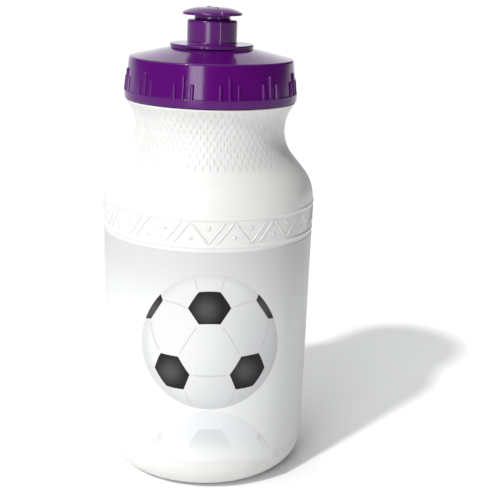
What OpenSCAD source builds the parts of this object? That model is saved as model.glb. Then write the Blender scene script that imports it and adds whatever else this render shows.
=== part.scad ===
// Squeeze bottle with a screw lid and a push-pull drinking valve.
// The origin is the centre of the foot, +Z runs up the bottle and -Y is the printed front.

/* [Bottle body] */
// Widest outside diameter of the body
body_d = 78; // [64:0.5:96]
// Height at which the straight wall ends and the shoulder begins
body_h = 104.3; // [80:0.1:140]
// How much smaller the wall's radius is at the foot than at the shoulder
body_taper = 0.9; // [0:0.1:3]
// Thickness of the soft wall
body_wall = 1.1; // [0.8:0.1:2]
// Radius of the rounded edge round the foot
foot_r = 11; // [5:0.5:14]
// Diameter of the dish under the foot
punt_d = 46; // [20:1:48]
// Depth of the dish under the foot
punt_h = 2.4; // [1:0.1:4]

/* [Shoulder and waist] */
// Radius of the outward curve of the shoulder
shoulder_r = 15.5; // [8:0.5:18]
// Radius of the inward curve of the waist
waist_r = 15.3; // [8:0.1:18]
// Steepest lean of the wall between the two curves, in degrees from upright
waist_lean = 39.5; // [30:0.5:50]
// How much smaller the radius is at the waist than at the collar
waist_in = 3.5; // [2:0.1:6]

/* [Raised band] */
// Distance from the start of the shoulder down to the upper ridge of the band
band_drop = 0.7; // [0.5:0.1:10]
// Distance between the two ridges
band_h = 9.6; // [6:0.1:10]
// How far the ridges stand out
ridge_out = 0.35; // [0.2:0.05:0.6]
// Radius of the round section of a ridge
ridge_r = 0.7; // [0.5:0.05:1.2]

/* [Printed film] */
// Thickness of the film round the body
film_t = 0.15; // [0.1:0.05:0.3]
// Distance from the film's top edge down to the middle of the lower ridge
film_gap = 2; // [1.5:0.1:6]
// Width of the slit between the film's two ends, at the back
film_slit = 1; // [0.5:0.1:3]

/* [Neck and thread] */
// Inside diameter of the mouth
mouth_d = 50.4; // [40:0.1:62]
// Wall thickness of the neck
neck_wall = 1.4; // [1.2:0.1:2.5]
// Height of the neck above the collar
neck_h = 11.8; // [9.8:0.1:16]
// How far the collar stands out beyond the neck
collar_out = 4.3; // [3:0.1:6]
// Height of the upright lip at the top of the collar
collar_lip = 0.5; // [0.3:0.1:2]
// Rise of the thread in one turn
thread_pitch = 4.2; // [3.6:0.1:5]
// Height of the thread above the neck
thread_out = 1.2; // [0.8:0.1:1.6]
// Width of the thread at its foot
thread_foot = 1.9; // [1.4:0.1:2]
// Width of the thread at its crest
thread_crest = 0.8; // [0.4:0.1:1]
// Turns of thread on the neck and in the lid
thread_turns = 1.4; // [1:0.1:1.5]
// Clearance between each crest and the wall it faces
thread_gap = 0.4; // [0.3:0.05:0.6]

/* [Lid] */
// Thickness of the skirt at its top
skirt_wall = 1.55; // [1.2:0.05:3]
// How much wider the skirt's radius is at the bottom than at the top
skirt_draft = 1.2; // [0:0.1:2]
// Height of the plain rim round the bottom of the skirt
rim_h = 2.9; // [2:0.1:4]
// How far the rim stands out beyond the skirt
rim_out = 0.5; // [0.3:0.1:1]
// Gap between the lid and the collar
lid_gap = 0.4; // [0.3:0.05:1]
// Thickness of the lid above the seal ring, at its edge
seat_t = 1.65; // [1.2:0.05:3]
// Thickness of the domed top
dome_t = 1.6; // [1.2:0.1:2.5]
// Slope of the domed top, in degrees
dome_slope = 13; // [8:0.5:18]
// Thickness of the lip that plugs the mouth
plug_t = 1.1; // [0.8:0.1:2]
// Depth of that lip below the mouth's edge
plug_h = 2; // [1:0.1:4]
// Clearance between that lip and the mouth
plug_gap = 0.4; // [0.3:0.05:1]

/* [Grip bars on the lid] */
// Groups of three bars round the skirt
bar_groups = 12; // [8:1:14]
// Angle from the front to the first group
bar_start = 12; // [0:1:30]
// Angle between the bars of one group
bar_step = 6; // [5:0.5:7]
// Width of a bar
bar_w = 1.2; // [0.8:0.1:1.6]
// Height of the middle bar of a group
bar_tall = 7.8; // [4:0.1:8.4]
// Height of the two outer bars
bar_short = 5.1; // [3:0.1:6]
// How far the bars stand out
bar_out = 0.6; // [0.3:0.1:1]

/* [Seal ring] */
// Thickness of the ring
seal_t = 1.5; // [1:0.1:3]
// Clearance above and below the ring
seal_play = 0.05; // [0.02:0.01:0.1]
// Clearance between the ring's edges and the lid
seal_gap = 0.3; // [0.2:0.05:0.5]

/* [Spout in the lid] */
// Bore of the spout tube
spout_d = 11.8; // [9:0.1:14]
// Wall thickness of the spout tube
spout_wall = 1.42; // [1:0.01:2]
// Height of the bead that stops the valve from pulling off
bead_h = 1.4; // [1:0.1:2]
// How far the bead stands out
bead_out = 0.6; // [0.3:0.1:1]
// Diameter of the stopper pin
pin_d = 4.24; // [3.2:0.02:6]
// Thickness of the three webs that hold the pin
web_t = 1.2; // [0.8:0.1:2]
// Height of the webs
web_h = 3; // [2:0.1:4]
// How far the pin's tip stays below the top of the closed valve
pin_down = 0.8; // [0:0.1:1.2]

/* [Valve] */
// How far the valve pulls up
valve_travel = 5; // [3:0.1:7]
// Running clearance round the spout and the pin
valve_gap = 0.08; // [0.05:0.01:0.1]
// Gap between the closed valve and the lid
valve_rest = 0.3; // [0.2:0.05:0.6]
// Diameter of the flange
flange_d = 30.2; // [26:0.1:37]
// Thickness of the flange
flange_t = 1.2; // [1:0.1:2]
// Wall thickness of the barrel
barrel_wall = 1; // [0.8:0.1:2]
// Thickness of the barrel's closed top
barrel_roof = 1.65; // [1.2:0.05:3]
// Depth of the groove under the head
groove_in = 2.55; // [1:0.05:2.8]
// Height of the groove under the head
groove_h = 1.6; // [1:0.1:3]
// Bore of the chamber inside the groove and head
chamber_d = 10; // [8:0.1:11]
// How far the head stands out beyond the barrel
head_out = 1.7; // [0.5:0.1:3]
// Height of the head
head_h = 2.7; // [2.4:0.1:4]
// Thickness of the head's rounded edge
head_edge = 0.9; // [0.6:0.1:1.2]
// Diameter of the flat round the drinking hole
head_flat_d = 6.4; // [5.6:0.1:9]
// Thickness of the head at the drinking hole
head_t = 1.7; // [1.2:0.1:2]

/* [Hidden] */
$fn = 96;

white = "white";
purple = "indigo";
overlap = 0.3;          // how far a joined piece reaches into its neighbour

// Bottle: radii and heights of the outside
neck_rad = mouth_d / 2 + neck_wall;
collar_rad = neck_rad + collar_out;
waist_rad = collar_rad - waist_in;
body_rad = body_d / 2;
foot_c = [body_rad - body_taper - foot_r, foot_r];
// the two curves shrink together where the step between body and waist is too small for them
curve_rise = (shoulder_r + waist_r) * (1 - cos(waist_lean));
curve_k = min(1, 0.95 * (body_rad - waist_rad) / curve_rise);
shoulder_c = [body_rad - curve_k * shoulder_r, body_h];
lean_h = (body_rad - waist_rad - curve_k * curve_rise) / tan(waist_lean);
waist_c = [waist_rad + curve_k * waist_r,
           body_h + curve_k * (shoulder_r + waist_r) * sin(waist_lean) + lean_h];
collar_z = waist_c[1] + flare_h(0) + collar_lip;
mouth_z = collar_z + neck_h;
band_z = body_h - band_drop - band_h;
punt_rad = (pow(punt_d / 2, 2) + pow(punt_h, 2)) / (2 * punt_h);
wall_line = tangent(foot_c, foot_r, shoulder_c, curve_k * shoulder_r);

// Lid: radii and heights
skirt_in = neck_rad + thread_out + thread_gap;
skirt_top_rad = skirt_in + skirt_wall;
skirt_low_rad = skirt_top_rad + skirt_draft;
lid_z = collar_z + lid_gap;
rim_z = lid_z + rim_h;
seal_z = mouth_z + seal_play;
seat_z = seal_z + seal_t + seal_play;
skirt_z = seat_z + seat_t;
skirt_lean = atan(skirt_draft / (skirt_z - rim_z));
plug_rad = mouth_d / 2 - plug_gap;
thread_z = collar_z + (neck_h - thread_pitch * (thread_turns + 0.5)) / 2;

// Spout and valve: radii and heights with the valve pushed shut
spout_rad = spout_d / 2 + spout_wall;
lip_rad = spout_rad + valve_gap;
bead_rad = spout_rad + bead_out;
barrel_in = bead_rad + valve_gap;
barrel_rad = barrel_in + barrel_wall;
landing_z = dome_z(flange_d / 2);
flange_z = landing_z + valve_rest;
bead_z = flange_z + flange_t + valve_travel + valve_gap;
spout_z = bead_z + bead_h;
roof_z = spout_z + valve_rest;
barrel_z = roof_z + barrel_roof;
head_z = barrel_z + groove_h;
head_rad = barrel_rad + head_out;
valve_z = head_z + head_h;
pin_rad = pin_d / 2;

// Height of the dome's outer face at radius r
function dome_z(r) = skirt_z + (skirt_top_rad - r) * tan(dome_slope);

// Height from the waist up to where its curve reaches the collar, on a face set in by inset
function flare_h(inset) =
    let (r = curve_k * waist_r + inset)
    sqrt(r * r - pow(waist_c[0] - collar_rad + inset, 2));

// The two points where a straight line touches two circles on their right-hand side.
// A negative radius puts that circle on the other side of the line.
function tangent(c1, r1, c2, r2) =
    let (d = norm(c2 - c1),
         u = (c2 - c1) / d,
         k = (r1 - r2) / d,
         w = sqrt(1 - k * k),
         n = [u[0] * k + u[1] * w, u[1] * k - u[0] * w])
    [c1 + r1 * n, c2 + r2 * n];

// Radius of the body's straight wall at height z
function wall_rad(z) =
    let (a = wall_line[0], b = wall_line[1])
    a[0] + (b[0] - a[0]) * (z - a[1]) / (b[1] - a[1]);

// Half section of the body from foot to collar, its face set in by inset
module body_section(inset) {
    foot_rad = foot_r - inset;
    top_rad = curve_k * shoulder_r - inset;
    hollow_rad = curve_k * waist_r + inset;
    wall = tangent(foot_c, foot_rad, shoulder_c, top_rad);
    lean = tangent(shoulder_c, top_rad, waist_c, -hollow_rad);
    edge = collar_rad - inset;
    top = collar_z - inset;
    difference() {
        union() {
            polygon([[0, inset], [foot_c[0], inset], wall[0], wall[1], lean[0], lean[1],
                     waist_c, [edge, waist_c[1] + flare_h(inset)], [edge, top], [0, top]]);
            translate(foot_c) circle(foot_rad);
            translate(shoulder_c) circle(top_rad);
        }
        translate(waist_c) circle(hollow_rad);
        translate([0, punt_h - punt_rad]) circle(punt_rad + inset, $fn = 360);
    }
}

// One round ridge on the body's straight wall at height z
module ridge_section(z) {
    translate([wall_rad(z) + ridge_out - ridge_r, z]) circle(ridge_r);
}

// A helical thread between two radii, with run-outs at both ends; crest may lie inside foot
module thread(foot, crest, z) {
    steps = 12 * ceil(thread_turns * 3);
    outward = crest > foot;
    root = foot + (outward ? -overlap : overlap);
    points = [for (i = [0:steps])
        let (a = 360 * thread_turns * i / steps,
             fade = min(1, 0.04 + 8 * min(i, steps - i) / steps),
             r = foot + (crest - foot) * fade,
             mid = z + thread_pitch * a / 360)
        each [for (p = [[root, -thread_foot], [r, -thread_crest],
                        [r, thread_crest], [root, thread_foot]])
            [p[0] * cos(a), p[0] * sin(a), mid + p[1] / 2]]];
    sides = [for (i = [0:steps - 1], j = [0:3])
        let (a = 4 * i + j, b = 4 * i + (j + 1) % 4, c = b + 4, d = a + 4)
        each [[a, b, c], [a, c, d]]];
    last = 4 * steps;
    ends = [[0, 2, 1], [0, 3, 2], [last, last + 1, last + 2], [last, last + 2, last + 3]];
    faces = concat(sides, ends);
    polyhedron(points, outward ? faces : [for (f = faces) [f[2], f[1], f[0]]]);
}

// Blow-moulded shell: foot, wall, band, shoulder, waist, collar and threaded neck
module bottle_body() {
    color(white) union() {
        rotate_extrude() difference() {
            union() {
                body_section(0);
                ridge_section(band_z);
                ridge_section(band_z + band_h);
                translate([0, collar_z - overlap]) square([neck_rad, neck_h + overlap]);
            }
            body_section(body_wall);
            translate([0, waist_c[1]]) square([mouth_d / 2, mouth_z]);
        }
        thread(neck_rad, neck_rad + thread_out, thread_z);
    }
}

// Printed film wrapped round the straight wall, slit at the back
module label_wrap() {
    low = wall_line[0][1] + film_gap;
    high = band_z - film_gap;
    color("whitesmoke") difference() {
        rotate_extrude() polygon([[wall_rad(low), low], [wall_rad(low) + film_t, low],
                                  [wall_rad(high) + film_t, high], [wall_rad(high), high]]);
        translate([-film_slit / 2, 0, 0]) cube([film_slit, body_d, band_z]);
    }
}

// Flat ring squeezed between the mouth and the lid
module lid_gasket() {
    color("gainsboro") rotate_extrude() translate([plug_rad + seal_gap, seal_z])
        square([skirt_in - plug_rad - 2 * seal_gap, seal_t]);
}

// Rounded bar lying on the skirt, standing on the rim
module grip_bar(h) {
    translate([skirt_low_rad, 0, rim_z]) rotate([0, -skirt_lean, 0]) rotate([90, 0, 90])
        translate([0, 0, -overlap]) linear_extrude(bar_out + overlap) {
            translate([-bar_w / 2, -overlap]) square([bar_w, h + overlap - bar_w / 2]);
            translate([0, h - bar_w / 2]) circle(d = bar_w);
        }
}

// Stopper pin on its three webs in the top of the spout tube
module spout_pin() {
    translate([0, 0, spout_z - web_h]) cylinder(h = valve_z - pin_down - spout_z + web_h, r = pin_rad);
    for (i = [0:2]) rotate([0, 0, 120 * i + 90]) translate([0, -web_t / 2, spout_z - web_h])
        cube([spout_d / 2 + overlap, web_t, web_h]);
}

// Screw lid: skirt with rim and grip bars, dome, plug lip, thread, spout and stopper pin
module lid() {
    inner = plug_rad - plug_t;
    landing = flange_d / 2;
    color(purple) union() {
        rotate_extrude() {
            polygon([[skirt_in, lid_z], [skirt_low_rad + rim_out, lid_z],
                     [skirt_low_rad + rim_out, rim_z], [skirt_low_rad, rim_z],
                     [skirt_top_rad, skirt_z], [landing, landing_z],
                     [spout_rad, landing_z], [spout_rad, bead_z], [bead_rad, bead_z],
                     [bead_rad, spout_z], [spout_d / 2, spout_z],
                     [spout_d / 2, landing_z - dome_t], [landing, landing_z - dome_t],
                     [inner, dome_z(inner) - dome_t], [inner, mouth_z - plug_h],
                     [plug_rad, mouth_z - plug_h], [plug_rad, seat_z], [skirt_in, seat_z]]);
        }
        for (g = [0:bar_groups - 1], s = [-1:1])
            rotate([0, 0, bar_start + s * bar_step + 360 * g / bar_groups - 90])
                grip_bar(s == 0 ? bar_tall : bar_short);
        thread(skirt_in, skirt_in - thread_out, thread_z + thread_pitch / 2);
        spout_pin();
    }
}

// Push-pull valve: flange, barrel, groove and drinking head in one piece
module valve() {
    edge_r = head_edge / 2;
    color(purple) rotate_extrude() difference() {
        union() {
            translate([0, flange_z]) square([flange_d / 2, flange_t]);
            translate([0, flange_z]) square([barrel_rad, barrel_z - flange_z]);
            translate([0, flange_z]) square([barrel_rad - groove_in, head_z - flange_z + overlap]);
            polygon([[0, head_z], [head_rad - edge_r, head_z],
                     tangent([head_rad - edge_r, head_z + edge_r], edge_r, [head_flat_d / 2, valve_z], 0)[0],
                     [head_flat_d / 2, valve_z], [0, valve_z]]);
            translate([head_rad - edge_r, head_z + edge_r]) circle(edge_r);
        }
        translate([0, flange_z]) square([lip_rad, flange_t]);
        translate([0, flange_z + flange_t]) square([barrel_in, roof_z - flange_z - flange_t]);
        translate([0, flange_z]) square([chamber_d / 2, valve_z - head_t - flange_z]);
        translate([0, flange_z]) square([pin_rad + valve_gap, valve_z]);
    }
}

bottle_body();
label_wrap();
lid_gasket();
lid();
valve();
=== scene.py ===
import math
import bmesh
import bpy
from mathutils import Matrix, Vector
from mathutils.geometry import delaunay_2d_cdt


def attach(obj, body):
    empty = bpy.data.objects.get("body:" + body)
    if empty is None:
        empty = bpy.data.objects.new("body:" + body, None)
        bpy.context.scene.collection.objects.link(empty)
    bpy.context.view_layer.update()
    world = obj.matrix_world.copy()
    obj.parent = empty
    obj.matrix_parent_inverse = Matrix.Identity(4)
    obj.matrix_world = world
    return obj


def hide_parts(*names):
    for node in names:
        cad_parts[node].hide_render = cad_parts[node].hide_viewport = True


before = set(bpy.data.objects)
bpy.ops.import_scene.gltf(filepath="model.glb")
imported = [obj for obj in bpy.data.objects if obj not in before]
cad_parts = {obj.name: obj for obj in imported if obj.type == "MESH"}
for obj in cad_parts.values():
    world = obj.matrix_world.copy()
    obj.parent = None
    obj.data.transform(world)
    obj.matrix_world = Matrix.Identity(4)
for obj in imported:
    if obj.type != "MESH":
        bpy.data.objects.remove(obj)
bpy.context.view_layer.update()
print("frame loaded:", ", ".join(sorted(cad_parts)))

scene = bpy.context.scene


# shader helpers

class Wire:
    # one output of a node; plain arithmetic on it adds Math nodes
    def __init__(self, finish, socket):
        self.finish = finish
        self.socket = socket

    def maths(self, operation, first, second):
        return self.finish.node("ShaderNodeMath", {"operation": operation}, {0: first, 1: second})

    def __add__(self, other):
        return self.maths("ADD", self, other)

    __radd__ = __add__

    def __sub__(self, other):
        return self.maths("SUBTRACT", self, other)

    def __rsub__(self, other):
        return self.maths("SUBTRACT", other, self)

    def __mul__(self, other):
        return self.maths("MULTIPLY", self, other)

    __rmul__ = __mul__

    def __pow__(self, other):
        return self.maths("POWER", self, other)

    def __rpow__(self, other):
        return self.maths("POWER", other, self)


class Finish:
    # the node tree of a material or of the world
    def __init__(self, owner):
        self.owner = owner
        owner.use_nodes = True
        self.tree = owner.node_tree
        self.tree.nodes.clear()

    def node(self, kind, settings=None, sockets=None, out=0):
        made = self.tree.nodes.new(kind)
        for key, value in (settings or {}).items():
            setattr(made, key, value)
        for key, value in (sockets or {}).items():
            if isinstance(value, Wire):
                self.tree.links.new(value.socket, made.inputs[key])
            else:
                made.inputs[key].default_value = value
        return Wire(self, made.outputs[out]) if len(made.outputs) else None

    def place(self):
        return self.node("ShaderNodeTexCoord", out="Object")

    def stretched(self, scale):
        return self.node("ShaderNodeMapping", None, {"Vector": self.place(), "Scale": scale})

    def noise(self, scale, detail=2.0, vector=None, roughness=0.5):
        sockets = {"Vector": vector or self.place(), "Scale": scale,
                   "Detail": detail, "Roughness": roughness}
        return self.node("ShaderNodeTexNoise", None, sockets, "Fac")

    def height(self):
        return self.node("ShaderNodeSeparateXYZ", None, {0: self.place()}, "Z")

    def ease(self, value, start, end, low=0.0, high=1.0):
        sockets = {"Value": value, "From Min": start, "From Max": end, "To Min": low, "To Max": high}
        return self.node("ShaderNodeMapRange", {"interpolation_type": "SMOOTHSTEP"}, sockets)

    def mix(self, factor, first, second):
        return self.node("ShaderNodeMix", {"data_type": "RGBA"}, {0: factor, 6: first, 7: second}, 2)

    def dot(self, axis):
        sockets = {0: self.place(), 1: tuple(axis)}
        return self.node("ShaderNodeVectorMath", {"operation": "DOT_PRODUCT"}, sockets, "Value")

    def bump(self, height, distance, strength=1.0):
        sockets = {"Height": height, "Distance": distance, "Strength": strength}
        return self.node("ShaderNodeBump", None, sockets)

    def plastic(self, sockets):
        shader = self.node("ShaderNodeBsdfPrincipled", None, sockets)
        self.node("ShaderNodeOutputMaterial", None, {"Surface": shader})
        return self


def newFinish(name):
    return Finish(bpy.data.materials.new(name))


def colour(red, green, blue):
    return (red, green, blue, 1.0)


# mesh helpers; sizes here are in millimetres

def polar(radius, angle, height):
    turn = math.radians(angle)
    return (radius * math.sin(turn), -radius * math.cos(turn), height)


def arc(centre, radius, start, end, steps):
    turns = [math.radians(start + (end - start) * i / steps) for i in range(steps + 1)]
    return [(centre[0] + radius * math.cos(t), centre[1] + radius * math.sin(t)) for t in turns]


def rounded(corners, closed=True, steps=4):
    # each corner is radius, height and how much it is rounded
    outline = []
    for i, (r, z, size) in enumerate(corners):
        here = Vector((r, z))
        if size == 0 or (not closed and i in (0, len(corners) - 1)):
            outline.append((r, z))
            continue
        before = Vector(corners[i - 1][:2]) - here
        after = Vector(corners[(i + 1) % len(corners)][:2]) - here
        reach = size / math.tan(before.angle(after) / 2)
        reach = min(reach, 0.48 * before.length, 0.48 * after.length)
        start = here + before.normalized() * reach
        end = here + after.normalized() * reach
        for k in range(steps + 1):
            t = k / steps
            outline.append(tuple(start * (1 - t) ** 2 + here * 2 * t * (1 - t) + end * t * t))
    return outline


def radiusOf(outline, height):
    # radius of an upward outline at a height
    for (r0, z0), (r1, z1) in zip(outline, outline[1:]):
        if z0 <= height <= z1 and z1 > z0:
            return r0 + (r1 - r0) * (height - z0) / (z1 - z0)
    return outline[-1][0] if height > outline[-1][1] else outline[0][0]


class Shape:
    # points and the faces between them
    def __init__(self):
        self.points = []
        self.faces = []

    def sheet(self, rows, wrapAcross=False, wrapAlong=False, flip=False):
        first = len(self.points)
        across = len(rows[0])
        for row in rows:
            self.points.extend(row)
        for i in range(len(rows) if wrapAlong else len(rows) - 1):
            for j in range(across if wrapAcross else across - 1):
                near = first + i * across
                far = first + (i + 1) % len(rows) * across
                face = (near + j, near + (j + 1) % across, far + (j + 1) % across, far + j)
                self.faces.append(face[::-1] if flip else face)

    def lathe(self, outline, columns, closed=False):
        angles = [360 * j / columns for j in range(columns)]
        rows = [[polar(r, a, z) for a in angles] for r, z in outline]
        self.sheet(rows, wrapAcross=True, wrapAlong=closed)

    def relief(self, path, width, rise, surface):
        # a soft raised line along path; surface(across, along, rise) gives the point
        profile = [(-1 + i / 4, math.cos(math.pi / 2 * (-1 + i / 4)) ** 2) for i in range(9)]
        rows = []
        for i, (a, b) in enumerate(path):
            nextA, nextB = path[min(i + 1, len(path) - 1)]
            lastA, lastB = path[max(i - 1, 0)]
            way = Vector((nextA - lastA, nextB - lastB)).normalized()
            lift = 0 if i in (0, len(path) - 1) else 1
            row = []
            for side, share in profile:
                out = side * width / 2
                row.append(surface(a - way.y * out, b + way.x * out, rise * share * lift - 0.02))
            rows.append(row)
        self.sheet(rows, flip=True)

    def helix(self, foot, crest, start, thread):
        steps = 168
        rows = []
        for i in range(steps + 1):
            turn = 360 * thread["turns"] * i / steps
            fade = min(1, 0.04 + 8 * min(i, steps - i) / steps)
            top = foot + (crest - foot) * fade
            middle = start + thread["pitch"] * turn / 360
            root = foot - 0.2 if crest > foot else foot + 0.2
            ledge = top + (foot - top) * 0.12
            profile = [(root, -0.95), (foot, -0.86), (ledge, -0.46), (top, -0.3),
                       (top, 0.3), (ledge, 0.46), (foot, 0.86), (root, 0.95)]
            rows.append([polar(r, turn + 90, middle + z) for r, z in profile])
        self.sheet(rows, flip=crest > foot)


def makePiece(name, shape, body, finish, replaced=None):
    mesh = bpy.data.meshes.new(name)
    mesh.from_pydata([[value * 0.001 for value in point] for point in shape.points], [], shape.faces)
    form = bmesh.new()
    form.from_mesh(mesh)
    bmesh.ops.remove_doubles(form, verts=form.verts, dist=1e-7)
    for face in form.faces:
        face.smooth = True
    form.to_mesh(mesh)
    form.free()
    mesh.set_sharp_from_angle(angle=math.radians(40))
    mesh.materials.append(finish.owner)
    piece = bpy.data.objects.new(name, mesh)
    scene.collection.objects.link(piece)
    piece.modifiers.new("evenNormals", "WEIGHTED_NORMAL").keep_sharp = True
    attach(piece, body)
    if replaced:
        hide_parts(replaced)
    print("made", name, "with", len(mesh.polygons), "faces")
    return piece


# soft white bottle

bottle = {
    "columns": 256,
    "wall": 1.1,             # thickness
    "footCentre": (27.1, 11.0),
    "footRadius": 11.0,
    "wallLow": (38.1, 10.894),
    "wallHigh": (38.999, 104.15),
    "shoulderCentre": (23.5, 104.3),
    "shoulderRadius": 15.5,
    "waistCentre": (42.7, 129.43),
    "waistRadius": 15.3,
    "lean": 39.5,            # degrees from upright between shoulder and waist
    "collar": (30.9, 139.669),
    "neck": (26.6, 151.469),
    "mouth": 25.2,
    "innerCollar": (29.08, 138.569),
    "innerWall": ((37.55, 80.0), (37.3, 50.0)),
    "puntHeight": 2.4,
    "puntCurve": 111.408,
    "ridges": (94.0, 103.6),
    "ridgeRise": 0.35,
    "ridgeReach": 0.95,
    "thread": {"pitch": 4.2, "turns": 1.4, "start": 141.579, "out": 1.2},
    "white": (0.6, 0.6, 0.582),
    "paleWhite": (0.634, 0.634, 0.62),
    "scuffed": (0.62, 0.62, 0.61),
    "rough": 0.4,
}

gripDots = {
    "round": 75,             # how many would go right round
    "halfPanel": 60,         # degrees each side of front and back
    "rows": 10,
    "lowest": 119.6,
    "step": 2.0,
    "halfWidth": 0.72,
    "halfHeight": 1.25,
    "rise": 0.14,
}

frieze = {
    "repeats": 16,
    "low": 94.9,
    "high": 102.7,
    "lineWidth": 0.95,
    "rise": 0.3,
    "double": 0.2,           # how far the second slanting line stands off, in steps
    "slant": 0.4,            # how far a line leans from foot to top, in steps
    "wallRadius": 38.95,
    "lozenge": 1.15,
    "lozengeInset": (2.3, 2.2),   # from the top and from the bottom
}


def bottleOuter():
    b = bottle
    low, high = b["wallLow"], b["wallHigh"]
    puntDrop = b["puntHeight"] - b["puntCurve"]

    def base(z):
        if z <= high[1]:
            return low[0] + (high[0] - low[0]) * (z - low[1]) / (high[1] - low[1])
        reach = b["shoulderRadius"] ** 2 - (z - b["shoulderCentre"][1]) ** 2
        return b["shoulderCentre"][0] + math.sqrt(reach)

    dish = (0.0, 2, 5, 9, 13, 17, 20, 22)
    points = [(r, puntDrop + math.sqrt(b["puntCurve"] ** 2 - r * r)) for r in dish]
    points += [(22.9, 0.045), (23.8, 0.0)]
    points += arc(b["footCentre"], b["footRadius"], -90, -0.6, 14)
    points += [(base(z), z) for z in (12.8, 20, 32, 44, 56, 68, 80, 91.8, 92.6)]
    for ridge in b["ridges"]:
        for i in range(-6, 7):
            off = b["ridgeReach"] * i / 6
            swell = b["ridgeRise"] * math.cos(math.pi / 2 * i / 6) ** 2
            points.append((base(ridge + off) + swell, ridge + off))
        if ridge == b["ridges"][0]:
            points += [(base(z), z) for z in (95.5, 97.2, 98.8, 100.4, 102.1)]
    points += arc(b["shoulderCentre"], b["shoulderRadius"], 3.0, b["lean"], 14)
    points += arc(b["waistCentre"], b["waistRadius"], 180 + b["lean"], 140.5, 30)
    return points


def bottleInner():
    b = bottle
    wall = b["wall"]
    deep = b["puntHeight"] - b["puntCurve"]
    points = arc(b["waistCentre"], b["waistRadius"] + wall, 146.2, 180 + b["lean"], 16)
    points += arc(b["shoulderCentre"], b["shoulderRadius"] - wall, b["lean"], 0, 8)
    points += b["innerWall"]
    points += arc(b["footCentre"], b["footRadius"] - wall, 0, -90, 8)
    points += [(r, deep + math.sqrt((b["puntCurve"] + wall) ** 2 - r * r)) for r in (23.1, 18, 12, 6, 0)]
    return points


def makeBottle():
    b = bottle
    collar, neck, mouth, inner = b["collar"], b["neck"], b["mouth"], b["innerCollar"]
    top = [(collar[0], collar[1] - 0.5, 0), (collar[0], collar[1], 0.22), (neck[0], collar[1], 0.45),
           (neck[0], neck[1], 0.5), (mouth, neck[1], 0.5), (mouth, inner[1], 0.3), (*inner, 0)]
    outer = bottleOuter()
    shape = Shape()
    shape.lathe(outer + rounded(top, closed=False) + bottleInner(), b["columns"])
    thread = b["thread"]
    shape.helix(neck[0], neck[0] + thread["out"], thread["start"], thread)
    rising = outer[9:]

    def onWall(angle, z, rise):
        return polar(radiusOf(rising, z) + rise, angle, z)

    addGripDots(shape, onWall)
    addFrieze(shape, onWall)
    return shape


def addGripDots(shape, onWall):
    # rows of small upright lozenges, every other row set half a step aside
    g = gripDots
    pitch = 360 / g["round"]
    for facing in (0, 180):
        for row in range(g["rows"]):
            shift = 0.5 if row % 2 else 0.0
            count = int(g["halfPanel"] / pitch)
            for k in range(-count, count + 1):
                angle = (k + shift) * pitch
                if abs(angle) > g["halfPanel"]:
                    continue
                z = g["lowest"] + row * g["step"]
                addLozenge(shape, onWall, facing + angle, z, g["halfWidth"], g["halfHeight"], g["rise"])


def addLozenge(shape, onWall, angle, z, halfWidth, halfHeight, top):
    across = math.degrees(halfWidth / Vector(onWall(angle, z, 0)[:2]).length)
    rows = []
    for size, rise in ((1.0, -0.03), (0.72, 0.3), (0.4, 0.82), (0.12, 1.0), (0.0, 1.0)):
        row = []
        for k in range(12):
            turn = math.radians(30 * k)
            c, s = math.cos(turn), math.sin(turn)
            pull = size / (abs(c) ** 1.35 + abs(s) ** 1.35) ** (1 / 1.35)
            row.append(onWall(angle + across * c * pull, z + halfHeight * s * pull, top * rise))
        rows.append(row)
    shape.sheet(rows, wrapAcross=True)


def addFrieze(shape, onWall):
    # a zigzag of raised lines, doubled on one side, with a small lozenge in each bay
    f = frieze
    around = f["wallRadius"]
    step = 360 / f["repeats"]
    low, high, slant = f["low"], f["high"], f["slant"] * step

    def onBand(a, b, rise):
        return onWall(math.degrees(a / around), b, rise)

    def line(startAngle, startZ, endAngle, endZ):
        pieces = 8
        path = []
        for i in range(pieces + 1):
            t = i / pieces
            angle = startAngle + (endAngle - startAngle) * t
            path.append((math.radians(angle) * around, startZ + (endZ - startZ) * t))
        shape.relief(path, f["lineWidth"], f["rise"], onBand)

    half = f["lozenge"]
    fromTop, fromBottom = f["lozengeInset"]
    for k in range(f["repeats"]):
        foot = k * step
        second = foot + f["double"] * step
        line(foot - slant, high, foot, low)
        line(foot, low, foot + slant, high)
        line(second, low, second + slant, high)
        addLozenge(shape, onWall, foot + step * 0.01, high - fromTop, half, half, f["rise"])
        addLozenge(shape, onWall, foot + step * 0.6, low + fromBottom, half, half, f["rise"])


def bottleFinish():
    f = newFinish("softWhitePlastic")
    cloud = f.noise(38.0, 3.0)
    flow = f.noise(1.0, 3.0, f.stretched((520.0, 520.0, 36.0)))
    grain = f.noise(1500.0, 2.0)
    scuffs = f.ease(f.noise(160.0, 6.0, roughness=0.75), 0.6, 0.72)
    tint = f.mix(cloud, colour(*bottle["white"]), colour(*bottle["paleWhite"]))
    relief = grain * 0.5 + flow * 0.35 + scuffs * 0.25
    return f.plastic({
        "Base Color": f.mix(scuffs * 0.25, tint, colour(*bottle["scuffed"])),
        "Roughness": bottle["rough"] + 0.14 * (cloud - 0.5) + 0.1 * scuffs,
        "Subsurface Weight": 0.2,
        "Subsurface Radius": (1.0, 0.95, 0.85),
        "Subsurface Scale": 0.0015,
        "IOR": 1.5,
        "Normal": f.bump(relief, 0.00004, 0.55),
    })


makePiece("bottle_shell", makeBottle(), "bottle", bottleFinish(), "bottle_body")


# printed film

film = {
    "columns": 240,
    "low": 12.894,
    "high": 92.0,
    "thickness": 0.15,
    "slit": 1.0,
    "slitRadius": 38.5,
    "topGrey": (0.475, 0.48, 0.475),
    "paper": (0.65, 0.655, 0.652),
    "fadeStart": 0.0925,     # metres up, like the one below
    "fadeEnd": 0.046,
    "rough": 0.37,
    "shine": 0.45,
}


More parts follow.
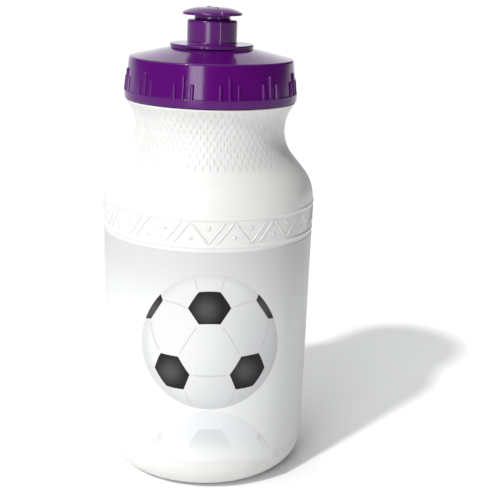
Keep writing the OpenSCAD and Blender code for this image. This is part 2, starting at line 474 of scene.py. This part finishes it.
def filmRadius(z):
    low, high = bottle["wallLow"], bottle["wallHigh"]
    return low[0] + (high[0] - low[0]) * (z - low[1]) / (high[1] - low[1]) + film["thickness"]


def makeFilm():
    low, high, thick = film["low"], film["high"], film["thickness"]
    edge = 0.05
    outline = [(filmRadius(low) - thick + 0.005, low), (filmRadius(low) - edge, low)]
    outline.append((filmRadius(low), low + edge))
    for i in range(1, 12):
        z = low + (high - low) * i / 12
        outline.append((filmRadius(z), z))
    outline += [(filmRadius(high), high - edge), (filmRadius(high) - edge, high),
                (filmRadius(high) - thick + 0.005, high)]
    half = math.degrees(film["slit"] / 2 / film["slitRadius"])
    rows = []
    for j in range(film["columns"] + 1):
        angle = 180 + half + (360 - 2 * half) * j / film["columns"]
        rows.append([polar(r, angle, z) for r, z in outline])
    shape = Shape()
    shape.sheet(rows, wrapAcross=True, flip=True)
    last = len(shape.points) - len(outline)
    shape.faces.append(tuple(range(len(outline))))
    shape.faces.append(tuple(reversed(range(last, last + len(outline)))))
    return shape


def filmColour(f):
    # grey at the top that fades into white lower down, a little uneven like a print
    fade = f.ease(f.height() + 0.002 * (f.noise(30.0, 2.0) - 0.5), film["fadeEnd"], film["fadeStart"])
    shade = f.mix(fade ** 1.6, colour(*film["paper"]), colour(*film["topGrey"]))
    dots = f.noise(2600.0, 1.0)
    return f.mix(0.05 * dots, shade, colour(0.5, 0.5, 0.52))


def filmSkin(f, base, shine=film["shine"]):
    grain = f.noise(900.0, 2.0)
    waves = f.noise(1.0, 2.0, f.stretched((60.0, 60.0, 22.0)))
    return f.plastic({
        "Base Color": base,
        "Roughness": film["rough"] + 0.1 * (f.noise(70.0, 3.0) - 0.5),
        "IOR": 1.48,
        "Specular IOR Level": shine,
        "Normal": f.bump(grain * 0.3 + waves, 0.00005, 0.5),
    })


filmFinish = newFinish("printedFilm")
makePiece("print_film", makeFilm(), "bottle",
          filmSkin(filmFinish, filmColour(filmFinish)), "label_wrap")


# viewpoint, also the side that the print faces

viewpoint = {
    "eye": (0.0, -380.0, 188.24),
    "turn": 2.426,
    "down": 15.535,
    "roll": 1.82,
    "lens": 74.56,
}

aim = (Matrix.Rotation(math.radians(-viewpoint["turn"]), 3, "Z")
       @ Matrix.Rotation(math.radians(90 - viewpoint["down"]), 3, "X")
       @ Matrix.Rotation(math.radians(viewpoint["roll"]), 3, "Z"))
eye = Vector(viewpoint["eye"])


# printed football with its faint echo below

ball = {
    "radius": 23.85,
    "angle": 1.95,           # where its middle sits on the film
    "height": 59.75,
    "patchSize": 18.6,       # degrees from the middle of a patch to its corners
    "seamWidth": 0.018,      # in ball radii
    "seamGap": 3.2,          # degrees left clear beside a patch
    "ink": 0.03,             # thickness
    "grid": 0.05,
    "ground": (0.55, 0.555, 0.55),
    "groundShade": (0.47, 0.475, 0.49),
    "groundGlow": (0.61, 0.615, 0.61),
    "groundRim": (0.44, 0.445, 0.455),
    "patchMiddle": (0.05, 0.05, 0.052),
    "patchEdge": (0.003, 0.003, 0.0035),
    "patchShine": 0.22,
    "seam": (0.4, 0.4, 0.41),
    "paleSeam": (0.46, 0.46, 0.47),
}

echo = {
    "drop": 2.02,            # how far its middle lies below the ball's, in ball radii
    "end": 0.27,             # where it is cut off, above its middle
    "fadeOut": 0.2,
    "fadeIn": 0.6,
    "ground": (0.58, 0.59, 0.605),
    "groundInk": 0.7,
    "patch": (0.48, 0.485, 0.498),
    "patchInk": 0.8,
}

# direction of each whole dark patch on the ball: round, up, and its own turn
patchSpots = {
    "top": (0, 30.8, 0),
    "lowLeft": (-40.9, -27.5, -11.1),
    "lowRight": (40.9, -27.5, 11.1),
}
# the patches cut off by the rim, right-hand one: its two inner corners and where it leaves the rim
farPatch = {"corners": ((0.862, 0.333), (0.686, 0.6)), "rim": (44, 20)}
seamPairs = [("top", "lowLeft"), ("top", "lowRight"), ("top", "farLeft"), ("top", "farRight"),
             ("lowLeft", "lowRight"), ("lowLeft", "farLeft"), ("lowRight", "farRight")]
seamsOut = [("top", 76), ("top", 104), ("lowLeft", 254), ("lowLeft", 203), ("lowLeft", 226),
            ("lowRight", 286), ("lowRight", -23), ("lowRight", -46)]

patchNames = list(patchSpots) + ["farLeft", "farRight"]
ballMiddle = Vector(polar(filmRadius(ball["height"]), ball["angle"], ball["height"]))
sideways = aim @ Vector((1, 0, 0))
upward = aim @ Vector((0, 1, 0))


def onFilm(u, v, rise):
    # carries a flat layout point to the film, straight along the line of sight
    ray = ballMiddle + (sideways * u + upward * v) * ball["radius"] - eye
    reach = 1.0
    for attempt in range(5):
        radius = filmRadius(eye.z + ray.z * reach) + rise
        a = ray.x ** 2 + ray.y ** 2
        b = eye.x * ray.x + eye.y * ray.y
        c = eye.x ** 2 + eye.y ** 2 - radius ** 2
        reach = (-b - math.sqrt(b * b - a * c)) / a
    return tuple(eye + ray * reach)


def patchCorners(spot):
    turn, lift, roll = [math.radians(value) for value in patchSpots[spot]]
    middle = Vector((math.sin(turn) * math.cos(lift), math.sin(lift), math.cos(turn) * math.cos(lift)))
    east = Vector((math.cos(turn), 0, -math.sin(turn)))
    north = middle.cross(east)
    size = math.radians(ball["patchSize"])
    corners = []
    for k in range(6):
        way = roll + math.radians(60 * k)
        outward = east * math.cos(way) + north * math.sin(way)
        corners.append(middle * math.cos(size) + outward * math.sin(size))
    return corners


def onRim(angle):
    return Vector((math.cos(math.radians(angle)), math.sin(math.radians(angle))))


def flatCorners(spot):
    if spot.startswith("far"):
        side = -1 if spot == "farLeft" else 1
        return [Vector((side * x, y)) for x, y in farPatch["corners"]]
    return [Vector((corner.x, corner.y)) for corner in patchCorners(spot)]


def lifted(point):
    return Vector((point.x, point.y, math.sqrt(max(0.0, 1 - point.length_squared))))


def patchOutline(spot):
    if spot.startswith("far"):
        side = -1 if spot == "farLeft" else 1
        start, end = farPatch["rim"]
        rim = [onRim(start + (end - start) * k / 8) for k in range(9)]
        rim = [Vector((side * point.x, point.y)) for point in rim]
        first, second = flatCorners(spot)
        edge = [rim[-1].lerp(first, k / 4) for k in range(1, 4)]
        edge += [first.lerp(second, k / 8) for k in range(9)]
        return edge + [second.lerp(rim[0], k / 3) for k in range(1, 3)] + rim
    corners = patchCorners(spot)
    outline = []
    for k in range(6):
        a, b = corners[k], corners[(k + 1) % 6]
        edge = [(a * (1 - t / 8) + b * (t / 8)).normalized() for t in range(8)]
        outline += [Vector((point.x, point.y)) for point in edge]
    return outline


def seamStrip(path):
    half = ball["seamWidth"] / 2
    left = []
    right = []
    for i, point in enumerate(path):
        way = (path[min(i + 1, len(path) - 1)] - path[max(i - 1, 0)]).normalized()
        side = Vector((-way.y, way.x)) * half
        left.append(point + side)
        right.append(point - side)
    return left + right[::-1]


def seamOutlines():
    strips = []
    gap = math.radians(ball["seamGap"])
    for first, second in seamPairs:
        pairs = [(lifted(a), lifted(b)) for a in flatCorners(first) for b in flatCorners(second)]
        a, b = min(pairs, key=lambda pair: (pair[0] - pair[1]).length)
        span = a.angle(b)
        path = []
        for k in range(11):
            point = a.slerp(b, (gap + (span - 2 * gap) * k / 10) / span)
            path.append(Vector((point.x, point.y)))
        strips.append(seamStrip(path))
    for first, rimAngle in seamsOut:
        rim = onRim(rimAngle) * 0.985
        corner = min(flatCorners(first), key=lambda point: (point - rim).length)
        start = corner + (rim - corner).normalized() * 0.04
        strips.append(seamStrip([start + (rim - start) * k / 4 for k in range(5)]))
    return strips


def inside(point, outline):
    hit = False
    for a, b in zip(outline, outline[1:] + outline[:1]):
        if (a.y > point.y) != (b.y > point.y):
            if point.x < a.x + (b.x - a.x) * (point.y - a.y) / (b.y - a.y):
                hit = not hit
    return hit


def layoutRegions(patches, seams, lowest=None):
    # cuts the ball's disc into ground, patches and seams
    rim = [onRim(3 * k) for k in range(120)]
    outlines = [rim] + patches + seams
    points = []
    edges = []
    for outline in outlines:
        first = len(points)
        points += outline
        edges += [(first + k, first + (k + 1) % len(outline)) for k in range(len(outline))]
    if lowest is not None:
        across = math.sqrt(1 - lowest ** 2)
        first = len(points)
        points += [Vector((across * (k / 20 - 1), lowest)) for k in range(41)]
        edges += [(first + k, first + k + 1) for k in range(40)]
    span = int(1 / ball["grid"]) + 1
    for i in range(-span, span + 1):
        for j in range(-span, span + 1):
            shift = 0.5 if j % 2 else 0.0
            spot = Vector(((i + shift) * ball["grid"], j * ball["grid"] * 0.87))
            if spot.length < 0.97:
                points.append(spot)
    made = delaunay_2d_cdt(points, edges, [], 0, 1e-5)
    regions = {"ground": [], "patches": [], "seams": []}
    for face in made[2]:
        corners = [made[0][index] for index in face]
        middle = (corners[0] + corners[1] + corners[2]) / 3
        if lowest is not None and middle.y < lowest:
            continue
        kind = "ground"
        if any(inside(middle, outline) for outline in patches):
            kind = "patches"
        elif any(inside(middle, outline) for outline in seams):
            kind = "seams"
        regions[kind].append(face)
    return made[0], regions


def inkShape(points, faces, drop):
    # a closed skin of ink lying on the film
    used = sorted({index for face in faces for index in face})
    number = {index: k for k, index in enumerate(used)}
    shape = Shape()
    for rise in (ball["ink"], -0.05):
        shape.points += [onFilm(points[k].x, points[k].y - drop, rise) for k in used]
    count = len(used)
    borders = {}
    for face in faces:
        a, b, c = [number[index] for index in face]
        shape.faces += [(a, b, c), (c + count, b + count, a + count)]
        for edge in ((a, b), (b, c), (c, a)):
            borders[edge] = True
    for a, b in borders:
        if (b, a) not in borders:
            shape.faces.append((b, a, a + count, b + count))
    return shape


def planeWire(f, axis, drop=0.0):
    # sideways or upward place on the ball, in ball radii
    size = ball["radius"] * 0.001
    start = ballMiddle.dot(axis) * 0.001 / size
    return f.dot(axis) * (1 / size) - (start - drop)


def groundFinish():
    f = newFinish("ballGround")
    u, v = planeWire(f, sideways), planeWire(f, upward)
    out = (u * u + v * v) ** 0.5
    shade = f.ease(u * 0.75 - v * 0.45, -0.5, 1.25)
    rim = f.ease(out, 0.86, 1.0)
    glow = f.ease(((u + 0.25) * (u + 0.25) + (v + 0.05) * (v + 0.05)) ** 0.5, 0.95, 0.1)
    base = f.mix(shade, colour(*ball["ground"]), colour(*ball["groundShade"]))
    base = f.mix(glow * 0.6, base, colour(*ball["groundGlow"]))
    base = f.mix(rim * 0.7, base, colour(*ball["groundRim"]))
    return filmSkin(f, base)


def patchFinish():
    f = newFinish("ballPatch")
    u, v = planeWire(f, sideways), planeWire(f, upward)
    nearest = None
    for spot in patchNames:
        outline = patchOutline(spot)
        middle = sum(outline, Vector((0, 0))) / len(outline)
        du, dv = u - (middle.x - 0.04), v - (middle.y - 0.02)
        away = du * du + dv * dv
        nearest = away.maths("MINIMUM", nearest, away) if nearest else away
    dark = f.ease(nearest ** 0.5, 0.02, 0.27)
    base = f.mix(dark, colour(*ball["patchMiddle"]), colour(*ball["patchEdge"]))
    speck = f.noise(1800.0, 1.0)
    return filmSkin(f, f.mix(speck * 0.06, base, colour(0.08, 0.08, 0.085)), ball["patchShine"])


def seamFinish():
    f = newFinish("ballSeam")
    tone = f.noise(300.0, 2.0)
    return filmSkin(f, f.mix(tone, colour(*ball["seam"]), colour(*ball["paleSeam"])))


def echoFinish(name, strength, ink):
    # the film's own colour with a breath of ink that dies away downwards
    f = newFinish(name)
    v = planeWire(f, upward, echo["drop"])
    fade = f.ease(v, echo["fadeOut"], echo["fadeIn"], 0.0, strength)
    return filmSkin(f, f.mix(fade, filmColour(f), colour(*ink)))


patches = [patchOutline(spot) for spot in patchNames]
layout, regions = layoutRegions(patches, seamOutlines())
makePiece("ball_ground", inkShape(layout, regions["ground"], 0), "bottle", groundFinish())
makePiece("ball_patches", inkShape(layout, regions["patches"], 0), "bottle", patchFinish())
makePiece("ball_seams", inkShape(layout, regions["seams"], 0), "bottle", seamFinish())
layout, regions = layoutRegions(patches, [], echo["end"])
makePiece("echo_ground", inkShape(layout, regions["ground"], echo["drop"]), "bottle",
          echoFinish("echoGround", echo["groundInk"], echo["ground"]))
makePiece("echo_patches", inkShape(layout, regions["patches"], echo["drop"]), "bottle",
          echoFinish("echoPatch", echo["patchInk"], echo["patch"]))
print("print laid out")


# seal ring

seal = {
    "inner": 25.1,
    "outer": 27.9,
    "low": 151.519,
    "high": 153.019,
    "edge": 0.35,
    "columns": 160,
    "rubber": (0.62, 0.62, 0.6),
    "paleRubber": (0.7, 0.7, 0.69),
    "rough": 0.62,
}


def makeSeal():
    s = seal
    corners = [(s["outer"], s["low"], s["edge"]), (s["outer"], s["high"], s["edge"]),
               (s["inner"], s["high"], s["edge"]), (s["inner"], s["low"], s["edge"])]
    shape = Shape()
    shape.lathe(rounded(corners, steps=5), s["columns"], closed=True)
    return shape


def sealFinish():
    f = newFinish("sealRubber")
    cloud = f.noise(120.0, 3.0)
    return f.plastic({
        "Base Color": f.mix(cloud, colour(*seal["rubber"]), colour(*seal["paleRubber"])),
        "Roughness": seal["rough"] + 0.1 * cloud,
        "IOR": 1.42,
        "Normal": f.bump(f.noise(1400.0, 3.0), 0.00004, 0.6),
    })


makePiece("seal_ring", makeSeal(), "seal", sealFinish(), "lid_gasket")


# purple screw lid

lid = {
    "columns": 216,
    "groups": 12,            # sets of three grip bars
    "firstGroup": 12,        # degrees from the front
    "barStep": 6,
    "barWidth": 1.2,
    "barTall": 7.8,
    "barShort": 5.1,
    "barLayers": ((-0.16, -0.04), (-0.04, 0.05), (0.05, 0.36), (0.16, 0.52), (0.32, 0.6), (0.52, 0.62)),
    "bottom": 140.069,
    "rimTop": 142.969,
    "rimRadius": 31.45,
    "skirtLow": 30.95,
    "skirtTop": (29.75, 154.719),
    "bore": 28.2,
    "seat": 153.069,
    "landing": (15.1, 158.102),
    "domeThick": 1.6,
    "ceiling": 154.514,      # under the dome, where the plug lip starts
    "plug": (23.7, 24.8, 149.469),
    "spout": (5.9, 7.32),
    "bead": (7.92, 164.682, 166.082),
    "pin": (2.12, 163.082, 171.532),
    "webThick": 1.2,
    "webAngles": (60, 180, 300),
    "webReach": (1.8, 3.0, 4.5, 6.2),
    "tone": (0.072, 0.0016, 0.115),
    "depth": (0.058, 0.0012, 0.093),
    "rough": 0.15,
}


def lidOutline():
    d = lid
    plugIn, plugOut, plugLow = d["plug"]
    spoutIn, spoutOut = d["spout"]
    beadOut, beadLow, beadHigh = d["bead"]
    under = d["landing"][1] - d["domeThick"]
    corners = [
        (d["bore"], d["bottom"], 0.35), (d["rimRadius"], d["bottom"], 0.35),
        (d["rimRadius"], d["rimTop"], 0.3), (d["skirtLow"], d["rimTop"], 0.15),
        (d["skirtTop"][0], d["skirtTop"][1], 0.9), (d["landing"][0], d["landing"][1], 0.6),
        (spoutOut, d["landing"][1], 0.5), (spoutOut, beadLow, 0.15), (beadOut, beadLow, 0.15),
        (beadOut, beadHigh, 0.45), (spoutIn, beadHigh, 0.3), (spoutIn, under, 0.6),
        (d["landing"][0], under, 0.5), (plugIn, d["ceiling"], 0.5), (plugIn, plugLow, 0.3),
        (plugOut, plugLow, 0.5), (plugOut, d["seat"], 0.2), (d["bore"], d["seat"], 0.3),
    ]
    return rounded(corners, steps=5)


def makeLid():
    d = lid
    shape = Shape()
    shape.lathe(lidOutline(), d["columns"], closed=True)
    lowZ, topZ = d["rimTop"], d["skirtTop"][1]
    lowR, topR = d["skirtLow"], d["skirtTop"][0]

    def onSkirt(angle, across, z, rise):
        radius = lowR + (topR - lowR) * (z - lowZ) / (topZ - lowZ)
        return polar(radius + rise, angle + math.degrees(across / radius), z)

    for group in range(d["groups"]):
        for side in (-1, 0, 1):
            angle = d["firstGroup"] + group * 360 / d["groups"] + side * d["barStep"]
            addBar(shape, onSkirt, angle, d["barShort"] if side else d["barTall"])
    thread = bottle["thread"]
    shape.helix(d["bore"], d["bore"] - thread["out"], thread["start"] + thread["pitch"] / 2, thread)
    addPin(shape)
    return shape


def addBar(shape, onSkirt, angle, tall):
    # nested outlines of a bar with a round top, each higher and smaller than the last
    d = lid
    half = d["barWidth"] / 2
    foot = d["rimTop"] - 0.25
    rows = []
    for inset, rise in d["barLayers"]:
        reach = half - inset
        top = d["rimTop"] + tall - half
        row = [onSkirt(angle, -reach, foot, rise), onSkirt(angle, -reach, (foot + top) / 2, rise)]
        for k in range(9):
            turn = math.radians(180 - 22.5 * k)
            row.append(onSkirt(angle, reach * math.cos(turn), top + reach * math.sin(turn), rise))
        row += [onSkirt(angle, reach, (foot + top) / 2, rise), onSkirt(angle, reach, foot, rise)]
        rows.append(row)
    shape.sheet(rows, flip=True)
    shape.faces.append(tuple(reversed(range(len(shape.points) - len(rows[0]), len(shape.points)))))


def addPin(shape):
    radius, low, high = lid["pin"]
    corners = [(0, low, 0), (radius, low, 0.1), (radius, high, 0.45), (0, high, 0)]
    shape.lathe(rounded(corners, closed=False), 64)
    half = lid["webThick"] / 2
    beadHigh = lid["bead"][2]
    corners = [(-half, low, 0.2), (half, low, 0.2), (half, beadHigh, 0.3), (-half, beadHigh, 0.3)]
    section = rounded(corners, steps=3)
    for angle in lid["webAngles"]:
        turn = math.radians(angle)
        rows = []
        for reach in lid["webReach"]:
            along = Vector((math.sin(turn), -math.cos(turn), 0)) * reach
            side = Vector((math.cos(turn), math.sin(turn), 0))
            rows.append([tuple(along + side * x + Vector((0, 0, z))) for x, z in section])
        shape.sheet(rows, wrapAcross=True, flip=True)


def glossyPurple(name, part):
    f = newFinish(name)
    tone = part["tone"]
    cloud = f.noise(60.0, 4.0)
    flow = f.noise(1.0, 4.0, f.stretched((90.0, 90.0, 420.0)))
    peel = f.noise(420.0, 2.0)
    hairs = f.ease(f.noise(1.0, 5.0, f.stretched((1600.0, 1600.0, 130.0)), 0.7), 0.62, 0.7)
    base = f.mix(cloud, colour(*tone), colour(*part["depth"]))
    base = f.mix(0.25 * flow, base, colour(tone[0] * 1.3, tone[1] * 2, tone[2] * 1.2))
    return f.plastic({
        "Base Color": base,
        "Roughness": part["rough"] + 0.08 * (cloud - 0.5) + 0.1 * hairs,
        "IOR": 1.5,
        "Specular IOR Level": 0.27,
        "Normal": f.bump(peel * 0.8 + flow * 0.5 + hairs * 0.2, 0.00003, 0.6),
    })


makePiece("screw_lid", makeLid(), "lid", glossyPurple("lidPurple", lid), "lid")


# push-pull valve

valve = {
    "columns": 192,
    "flange": (15.1, 158.402, 159.602),
    "lip": 7.4,
    "barrel": (9.0, 168.032),
    "barrelIn": 8.0,
    "roof": 166.382,
    "groove": 6.45,
    "headLow": 169.632,
    "headRadius": 10.7,
    "headEdge": 0.9,
    "headTop": (3.2, 172.332),
    "crown": 0.55,           # how much the head's slope bulges
    "chamber": (5.0, 170.632),
    "hole": 2.2,
    "partingAngle": 19,
    "partingWidth": 0.9,
    "partingRise": 0.26,
    "nubAngle": -10,
    "nub": (2.6, 0.42),      # half its width in degrees, half its height
    "tone": (0.08, 0.003, 0.122),
    "depth": (0.066, 0.0025, 0.1),
    "rough": 0.19,
}


def valveOutline():
    v = valve
    wide, low, high = v["flange"]
    edge = Vector((v["headRadius"], v["headLow"] + v["headEdge"]))
    slope = Vector(v["headTop"]) - edge
    outward = Vector((-slope.y, slope.x)).normalized() * -v["crown"]
    crown = []
    for t in (0.2, 0.4, 0.6, 0.8):
        point = edge + slope * t + outward * 4 * t * (1 - t)
        crown.append((point.x, point.y, 3.0))
    corners = [
        (v["lip"], low, 0.15), (wide, low, 0.3), (wide, high, 0.45), (v["barrel"][0], high, 0.8),
        (v["barrel"][0], v["barrel"][1], 0.9), (v["groove"], v["barrel"][1], 0.5),
        (v["groove"], v["headLow"], 0.5), (v["headRadius"], v["headLow"], 0.32),
        (edge.x, edge.y, 0.45), *crown, (v["headTop"][0], v["headTop"][1], 0.8),
        (v["hole"], v["headTop"][1], 0.3), (v["hole"], v["chamber"][1], 0.15),
        (v["chamber"][0], v["chamber"][1], 0.4), (v["chamber"][0], v["roof"], 0.3),
        (v["barrelIn"], v["roof"], 0.4), (v["barrelIn"], high, 0.2), (v["lip"], high, 0.15),
    ]
    return corners, rounded(corners, steps=6)


def makeValve():
    corners, outline = valveOutline()
    shape = Shape()
    shape.lathe(outline, valve["columns"], closed=True)
    outer = rounded(corners[1:15], closed=False, steps=6)[8:-2]
    for angle in (valve["partingAngle"], valve["partingAngle"] + 180):
        addParting(shape, outer, angle)
    addNub(shape)
    return shape


def addParting(shape, outer, angle):
    # the line where the two halves of the mould met
    profile = [(-1, -0.15), (-0.5, 0.5), (0, 1), (0.5, 0.5), (1, -0.15)]
    rows = []
    for i, (r, z) in enumerate(outer):
        before, after = outer[max(i - 1, 0)], outer[min(i + 1, len(outer) - 1)]
        way = Vector((after[0] - before[0], after[1] - before[1])).normalized()
        row = []
        for side, share in profile:
            rise = share * valve["partingRise"]
            turn = math.degrees(side * valve["partingWidth"] / 2 / max(r, 1))
            row.append(polar(r + way.y * rise, angle + turn, z - way.x * rise))
        rows.append(row)
    shape.sheet(rows)


def addNub(shape):
    # small gate mark on the edge of the flange
    wide, low, high = valve["flange"]
    halfWidth, halfHeight = valve["nub"]
    rows = []
    for size, rise in ((1.0, -0.1), (0.75, 0.12), (0.4, 0.26), (0.0, 0.3)):
        row = []
        for k in range(12):
            turn = math.radians(30 * k)
            angle = valve["nubAngle"] + halfWidth * size * math.cos(turn)
            z = (low + high) / 2 + halfHeight * size * math.sin(turn)
            row.append(polar(wide - 0.12 + rise, angle, z))
        rows.append(row)
    shape.sheet(rows, wrapAcross=True)


makePiece("drink_valve", makeValve(), "valve", glossyPurple("valvePurple", valve), "valve")


# floor, light and camera

studio = {
    "overhead": 0.86,
    "behind": 1.3,           # brightness low down behind the bottle
    "left": 0.03,
    "front": 0.03,
    "keyStrength": 2.16,
    "keySide": -40.5,        # degrees left of straight ahead
    "keyLift": 44,
    "keyAngle": 4,           # how wide the key light looks, which softens the shadow
    "stripPower": 1.15,
    "stripPlace": (-0.183, -0.52, 0.2),
    "stripSize": (0.17, 0.22),
    "floor": (0.93, 0.93, 0.93),
}


def makeFloor():
    shape = Shape()
    steps = [-9000, -3000, -900, -250, 0, 250, 900, 3000, 9000]
    shape.sheet([[(x, y, -0.05) for x in steps] for y in steps])
    mesh = bpy.data.meshes.new("floor")
    mesh.from_pydata([[value * 0.001 for value in point] for point in shape.points], [], shape.faces)
    f = newFinish("floorPaper")
    tone = f.noise(6.0, 3.0)
    shade = f.mix(tone, colour(*studio["floor"]), colour(*[value - 0.01 for value in studio["floor"]]))
    f.plastic({"Base Color": shade, "Roughness": 0.9, "Specular IOR Level": 0.1,
               "Normal": f.bump(f.noise(700.0, 2.0), 0.00002, 0.3)})
    mesh.materials.append(f.owner)
    floor = bpy.data.objects.new("floor", mesh)
    scene.collection.objects.link(floor)


def addLight(name, kind, energy, where, toward, settings):
    data = bpy.data.lights.new(name, kind)
    data.energy = energy
    for key, value in settings.items():
        setattr(data, key, value)
    lamp = bpy.data.objects.new(name, data)
    lamp.location = where
    lamp.rotation_mode = "QUATERNION"
    lamp.rotation_quaternion = (Vector(toward) - Vector(where)).to_track_quat("-Z", "Y")
    scene.collection.objects.link(lamp)
    return lamp


def makeStudio():
    world = bpy.data.worlds.new("studio")
    scene.world = world
    f = Finish(world)
    direction = f.node("ShaderNodeTexCoord", out="Generated")
    x = f.node("ShaderNodeSeparateXYZ", None, {0: direction}, "X")
    y = f.node("ShaderNodeSeparateXYZ", None, {0: direction}, "Y")
    z = f.node("ShaderNodeSeparateXYZ", None, {0: direction}, "Z")
    over = f.ease(z, 0.2, 0.75)
    behind = f.ease(y, 0.5, 0.92) * f.ease(x, 0.25, 0.5, 1.0, 0.0) * studio["behind"]
    low = studio["front"] + behind + f.ease(x, -0.2, -0.9) * studio["left"]
    lean = f.ease(x, -0.5, 0.6, 1.6, 0.24) * studio["overhead"]
    glow = low * (1 - over) + over * lean
    seen = f.node("ShaderNodeLightPath", out="Is Camera Ray")
    light = f.node("ShaderNodeBackground", None, {"Color": colour(0.98, 0.99, 1.0), "Strength": glow})
    backdrop = f.node("ShaderNodeBackground", None, {"Color": colour(1.0, 1.0, 1.0), "Strength": 1.0})
    both = f.node("ShaderNodeMixShader", None, {0: seen, 1: light, 2: backdrop})
    f.node("ShaderNodeOutputWorld", None, {"Surface": both})
    side, lift = math.radians(studio["keySide"]), math.radians(studio["keyLift"])
    away = Vector((math.sin(side) * math.cos(lift), -math.cos(side) * math.cos(lift), math.sin(lift)))
    addLight("keySun", "SUN", studio["keyStrength"], tuple(away * 2), (0, 0, 0),
             {"angle": math.radians(studio["keyAngle"])})
    wide, tall = studio["stripSize"]
    addLight("stripBox", "AREA", studio["stripPower"], studio["stripPlace"], (0, 0, 0.15),
             {"shape": "RECTANGLE", "size": wide, "size_y": tall})


makeFloor()
makeStudio()

cameraData = bpy.data.cameras.new("camera")
cameraData.lens = viewpoint["lens"]
cameraData.clip_start = 0.01
camera = bpy.data.objects.new("camera", cameraData)
camera.matrix_world = Matrix.Translation(eye * 0.001) @ aim.to_4x4()
scene.collection.objects.link(camera)
scene.camera = camera
scene.view_settings.view_transform = "Standard"
print("studio ready")
